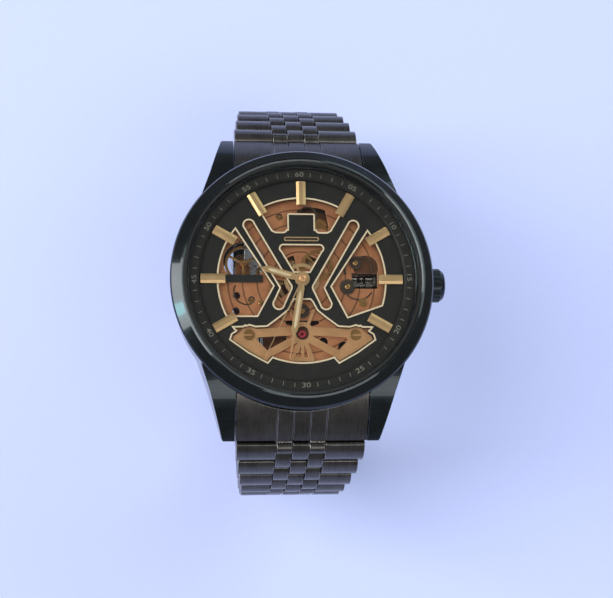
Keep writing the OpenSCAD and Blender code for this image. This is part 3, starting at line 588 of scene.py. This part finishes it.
def hand_details():
    """The pale inlays of the two broad hands and the cap in the middle."""
    hour_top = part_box("hour_hand")[1][2]
    minute_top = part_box("minute_hand")[1][2]
    second_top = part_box("second_hand")[1][2] / MM
    hour = mirrored([(0.13, 2.0), (0.24, 3.0), (0.24, 5.4), (0.1, 5.9)])
    minute = mirrored([(0.12, 2.2), (0.22, 3.2), (0.22, 8.0), (0.1, 8.6)])
    for name, outline, low, body, angle in [
        ("hour_inlay", hour, hour_top, "hours", HOUR_ANGLE),
        ("minute_inlay", minute, minute_top, "minutes", MINUTE_ANGLE),
    ]:
        flat_piece(name, [outline], low, low + INLAY_THICKNESS, body, inlay, angle)
    cap = [(0.62, 0.0), (0.6, 0.1), (0.42, 0.16), (0.3, 0.1)]
    profile = [(radius, second_top + height) for radius, height in cap]
    turned_piece("hand_cap", profile, (0, 0), "seconds", rose_brushed)


def plate_details():
    """What lies on the mainplate in the side windows, and the bridge's ends under the dial."""
    end = [(5.2, -12.7), (9.5, -8.3), (11.5, -9.5), (11.75, -10.1), (9.0, -12.0), (6.0, -13.75)]
    ends = [end, [(-x, y) for x, y in end]]
    under_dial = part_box("movement_ring")[1][2] + LAID_GAP
    end_top = under_dial + BRIDGE_END_THICKNESS
    flat_piece("bridge_ends", ends, under_dial, end_top, "case", rose_brushed)
    low = PLATE_TOP + LAID_GAP
    wheel_places = [((7.75, -1.0), 1.3, 26), ((9.2, 3.1), 1.0, 20), ((0.0, -5.2), 1.2, 24)]
    wheels = [gear_outline(*place) for place in wheel_places]
    flat_piece("setting_wheels", wheels, low, low + WHEEL_THICKNESS, "case", dark_steel)
    springs = [
        arc_outline((9.7, 1.9), 2.3, 0.22, -10, 200),
        arc_outline((9.6, -0.6), 2.6, 0.2, 215, 330),
        arc_outline((1.2, 11.3), 1.6, 0.22, -60, 200),
        arc_outline((-9.2, -1.9), 2.2, 0.2, 150, 290),
    ]
    flat_piece("flat_springs", springs, low, low + SPRING_THICKNESS, "case", dark_steel)
    stud_places = [centre for centre, _, _ in wheel_places] + [(-6.9, -3.9), (6.0, -4.4)]
    stud = [(0.42, 0.02), (0.42, 0.32), (0.3, 0.38), (0.1, 0.38)]
    for number, centre in enumerate(stud_places):
        profile = [(radius, low / MM + height) for radius, height in stud]
        turned_piece(f"stud_{number + 1}", profile, centre, "case", wheel_brass, 24)


# ---- surroundings ----

def lay_floor():
    """A level sheet at the lowest point of the closed bracelet, reaching FLOOR_REACH each way."""
    mesh = bmesh.new()
    bmesh.ops.create_grid(mesh, x_segments=8, y_segments=8, size=FLOOR_REACH)
    floor = new_object("floor", mesh, floor_material())
    floor.location = (0, 0, CAD_BOX[0][2])


def softbox(name, place, size, power, colour=(1, 1, 1)):
    """A rectangular area light at a place, aimed at the watch."""
    light = bpy.data.lights.new(name, "AREA")
    light.shape = "RECTANGLE"
    light.size, light.size_y = size
    light.energy = power
    light.color = colour
    holder = bpy.data.objects.new(name, light)
    bpy.context.collection.objects.link(holder)
    holder.location = place
    holder.rotation_euler = (-Vector(place)).to_track_quat("-Z", "Y").to_euler()


def light_studio():
    """A dim pale surrounding and four softboxes; the small teal one gives the cool glints."""
    world = bpy.data.worlds.new("studio")
    bpy.context.scene.world = world
    world.use_nodes = True
    world.node_tree.nodes.clear()
    surroundings = {"Color": (0.94, 0.96, 1.0, 1), "Strength": 0.30}
    background = add(world.node_tree, "ShaderNodeBackground", surroundings)
    add(world.node_tree, "ShaderNodeOutputWorld", {"Surface": background.outputs[0]})
    softbox("key", (-1.50, 0.10, 1.30), (1.2, 2.2), 48.0, (1.0, 0.98, 0.97))
    softbox("fill", (1.40, 1.20, 1.20), (2.4, 1.6), 22.0, (0.86, 1.0, 0.98))
    softbox("accent", (-1.75, -0.10, 0.70), (0.2, 0.6), 2.5, (0.25, 0.95, 1.0))
    softbox("front", (0.50, -1.10, 2.00), (1.6, 0.8), 10.0)


def set_camera():
    """The photograph's view, and the plain way of turning light into colours."""
    data = bpy.data.cameras.new("camera")
    data.lens = LENS
    data.sensor_width = SENSOR_WIDTH
    data.clip_start = 0.005
    camera = bpy.data.objects.new("camera", data)
    bpy.context.collection.objects.link(camera)
    axes = Matrix((CAMERA_RIGHT, CAMERA_UP, CAMERA_BACK)).transposed().to_4x4()
    camera.matrix_world = Matrix.Translation(CAMERA_AT) @ axes
    bpy.context.scene.camera = camera
    bpy.context.scene.view_settings.view_transform = "Standard"


dress_cad_nodes()
printed_ticks()
printed_numerals()
hand_details()
plate_details()
lay_floor()
light_studio()
set_camera()
